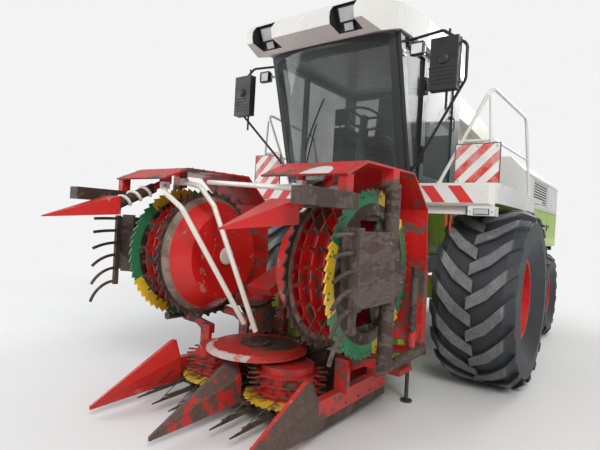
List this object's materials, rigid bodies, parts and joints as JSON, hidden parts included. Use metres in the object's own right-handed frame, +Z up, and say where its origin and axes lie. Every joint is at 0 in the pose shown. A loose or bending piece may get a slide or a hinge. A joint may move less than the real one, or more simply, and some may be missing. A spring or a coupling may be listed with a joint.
{
  "type": "forage harvester",
  "caption": "Self-propelled forage harvester with high cab, swivelling discharge spout and a rotary row crop header whose outer wings are folded up for the road.",
  "frame": {"origin": "middle of the overall length and width, on the ground under the wheels", "axes": "+Z up, -Y forward along the direction of travel, +X to the machine's left"},
  "size_m": [3.5, 8.5, 3.743],
  "materials": {
    "frame_black": "satin",
    "machine_green": "satin",
    "body_white": "gloss",
    "board_white": "satin",
    "engine_grey": "rough",
    "lamp_clear": "gloss",
    "cab_glass": "clear",
    "seat_fabric": "woven",
    "trim_black": "matte",
    "spout_white": "satin",
    "ram_steel": "polished",
    "header_red": "gloss",
    "header_worn": "worn",
    "knife_green": "satin",
    "tyre": "matte",
    "rim_red": "gloss"
  },
  "bodies": {
    "machine": {"chassis": "frame_black", "front_axle": "machine_green", "rear_axle": "frame_black", "engine": "engine_grey", "chopper_housing": "machine_green", "platform": "body_white", "ladder": "frame_black", "railings": "body_white", "warning_boards": "board_white", "cab_frame": "frame_black", "cab_roof": "body_white", "lamps": "lamp_clear", "windscreen": "cab_glass", "cab_windows": "cab_glass", "seat": "seat_fabric", "steering_console": "trim_black", "mirrors": "trim_black", "upper_panels": "body_white", "lower_panels": "machine_green", "discharge_tower": "machine_green"},
    "front_wheel_left": {"front_tyre_left": "tyre", "front_rim_left": "rim_red"},
    "front_wheel_right": {"front_tyre_right": "tyre", "front_rim_right": "rim_red"},
    "knuckle_left_body": {"knuckle_left": "frame_black"},
    "knuckle_right_body": {"knuckle_right": "frame_black"},
    "rear_wheel_left": {"rear_tyre_left": "tyre", "rear_rim_left": "rim_red"},
    "rear_wheel_right": {"rear_tyre_right": "tyre", "rear_rim_right": "rim_red"},
    "cab_door": {"door_frame": "frame_black", "door_glass": "cab_glass"},
    "engine_door": {"rear_door": "machine_green"},
    "spout_turret": {"spout_base": "spout_white"},
    "spout_arm": {"spout_chute": "spout_white"},
    "spout_end": {"spout_flap": "spout_white"},
    "spout_cylinder_body": {"spout_cylinder": "frame_black"},
    "spout_rod_body": {"spout_rod": "ram_steel"},
    "header": {"feed_housing": "machine_green", "header_frame": "header_red", "header_dividers": "header_red"},
    "lift_cylinder_body": {"lift_cylinders": "frame_black"},
    "lift_rod_body": {"lift_rods": "ram_steel"},
    "small_rotor_left_body": {"small_rotor_left": "header_red"},
    "small_rotor_right_body": {"small_rotor_right": "header_red"},
    "feed_drum_left_body": {"feed_drum_left": "header_red"},
    "feed_drum_right_body": {"feed_drum_right": "header_red"},
    "stand_left_body": {"stand_left": "frame_black"},
    "stand_right_body": {"stand_right": "frame_black"},
    "wing_left": {"wing_frame_left": "header_worn", "wing_points_left": "header_worn", "wing_bars_left": "spout_white"},
    "wing_right": {"wing_frame_right": "header_worn", "wing_points_right": "header_worn", "wing_bars_right": "spout_white"},
    "wing_rotor_left_body": {"wing_rotor_left": "header_red"},
    "wing_rotor_right_body": {"wing_rotor_right": "header_red"},
    "knife_ring_left_body": {"knife_ring_left": "knife_green"},
    "knife_ring_right_body": {"knife_ring_right": "knife_green"}
  },
  "joints": [
    {"name": "front_wheel_left_spin", "type": "hinge", "parent": "machine", "child": "front_wheel_left", "pos_m": [1.35, -0.55, 0.925], "axis": [1, 0, 0], "continuous": true},
    {"name": "steer_left", "type": "hinge", "parent": "machine", "child": "knuckle_left_body", "pos_m": [0.86, 2.55, 0.655], "axis": [0, 0, 1], "range_deg": [-35, 35]},
    {"name": "rear_wheel_left_spin", "type": "hinge", "parent": "knuckle_left_body", "child": "rear_wheel_left", "pos_m": [1.22, 2.55, 0.655], "axis": [1, 0, 0], "continuous": true},
    {"name": "front_wheel_right_spin", "type": "hinge", "parent": "machine", "child": "front_wheel_right", "pos_m": [-1.35, -0.55, 0.925], "axis": [1, 0, 0], "continuous": true},
    {"name": "steer_right", "type": "hinge", "parent": "machine", "child": "knuckle_right_body", "pos_m": [-0.86, 2.55, 0.655], "axis": [0, 0, 1], "range_deg": [-35, 35]},
    {"name": "rear_wheel_right_spin", "type": "hinge", "parent": "knuckle_right_body", "child": "rear_wheel_right", "pos_m": [-1.22, 2.55, 0.655], "axis": [1, 0, 0], "continuous": true},
    {"name": "cab_door_hinge", "type": "hinge", "parent": "machine", "child": "cab_door", "pos_m": [0.778, -1.31, 2.7], "axis": [0, 0, -1], "range_deg": [0, 45]},
    {"name": "engine_door_hinge", "type": "hinge", "parent": "machine", "child": "engine_door", "pos_m": [-1.254, 4.025, 2], "axis": [0, 0, 1], "range_deg": [0, 100]},
    {"name": "spout_turn", "type": "hinge", "parent": "machine", "child": "spout_turret", "pos_m": [0, 0.31, 2.7], "axis": [0, 0, 1], "range_deg": [-100, 100]},
    {"name": "spout_lift", "type": "hinge", "parent": "spout_turret", "child": "spout_arm", "pos_m": [0, 0.12, 3.01], "axis": [1, 0, 0], "range_deg": [0, 25]},
    {"name": "spout_flap_turn", "type": "hinge", "parent": "spout_arm", "child": "spout_end", "pos_m": [0, 3.909, 3.4446], "axis": [-1, 0, 0], "range_deg": [0, 60]},
    {"name": "spout_cylinder_turn", "type": "hinge", "parent": "spout_turret", "child": "spout_cylinder_body", "pos_m": [0, 0.61, 2.76], "axis": [1, 0, 0], "range_deg": [0, 25.8]},
    {"name": "spout_rod_slide", "type": "slide", "parent": "spout_cylinder_body", "child": "spout_rod_body", "axis": [0, 0.6814, 0.7319], "range_m": [0, 0.239]},
    {"name": "header_lift", "type": "hinge", "parent": "machine", "child": "header", "pos_m": [0, -1, 1.15], "axis": [-1, 0, 0], "range_deg": [0, 16]},
    {"name": "lift_cylinder_turn", "type": "hinge", "parent": "machine", "child": "lift_cylinder_body", "pos_m": [0, -0.6, 0.56], "axis": [-1, 0, 0], "range_deg": [0, 9.6]},
    {"name": "lift_rod_slide", "type": "slide", "parent": "lift_cylinder_body", "child": "lift_rod_body", "axis": [0, -0.9985, 0.0545], "range_m": [0, 0.149]},
    {"name": "wing_fold_left", "type": "hinge", "parent": "header", "child": "wing_left", "pos_m": [0.78, -2.65, 0.5], "axis": [0, 1, 0], "range_deg": [0, 90]},
    {"name": "wing_rotor_left_spin", "type": "hinge", "parent": "wing_left", "child": "wing_rotor_left_body", "pos_m": [0.8, -2.82, 1.25], "axis": [1, 0, 0], "continuous": true},
    {"name": "knife_ring_left_spin", "type": "hinge", "parent": "wing_left", "child": "knife_ring_left_body", "pos_m": [1, -2.82, 1.25], "axis": [1, 0, 0], "continuous": true},
    {"name": "small_rotor_left_spin", "type": "hinge", "parent": "header", "child": "small_rotor_left_body", "pos_m": [0.365, -2.87, 0.3], "axis": [0, 0, 1], "continuous": true},
    {"name": "feed_drum_left_spin", "type": "hinge", "parent": "header", "child": "feed_drum_left_body", "pos_m": [0.27, -2.21, 0.175], "axis": [0, -0.4226, 0.9063], "continuous": true},
    {"name": "stand_left_slide", "type": "slide", "parent": "header", "child": "stand_left_body", "axis": [0, 0, 1], "range_m": [0, 0.25]},
    {"name": "wing_fold_right", "type": "hinge", "parent": "header", "child": "wing_right", "pos_m": [-0.78, -2.65, 0.5], "axis": [0, -1, 0], "range_deg": [0, 90]},
    {"name": "wing_rotor_right_spin", "type": "hinge", "parent": "wing_right", "child": "wing_rotor_right_body", "pos_m": [-0.8, -2.82, 1.25], "axis": [1, 0, 0], "continuous": true},
    {"name": "knife_ring_right_spin", "type": "hinge", "parent": "wing_right", "child": "knife_ring_right_body", "pos_m": [-1, -2.82, 1.25], "axis": [1, 0, 0], "continuous": true},
    {"name": "small_rotor_right_spin", "type": "hinge", "parent": "header", "child": "small_rotor_right_body", "pos_m": [-0.365, -2.87, 0.3], "axis": [0, 0, 1], "continuous": true},
    {"name": "feed_drum_right_spin", "type": "hinge", "parent": "header", "child": "feed_drum_right_body", "pos_m": [-0.27, -2.21, 0.175], "axis": [0, -0.4226, 0.9063], "continuous": true},
    {"name": "stand_right_slide", "type": "slide", "parent": "header", "child": "stand_right_body", "axis": [0, 0, 1], "range_m": [0, 0.25]}
  ],
  "couplings": [
    {"joint": "steer_right", "follows": "steer_left", "ratio": 1},
    {"joint": "spout_cylinder_turn", "follows": "spout_lift", "ratio": 1.0316},
    {"joint": "spout_rod_slide", "follows": "spout_lift", "m_per_rad": 0.54499},
    {"joint": "lift_cylinder_turn", "follows": "header_lift", "ratio": 0.59518},
    {"joint": "lift_rod_slide", "follows": "header_lift", "m_per_rad": 0.52869}
  ]
}
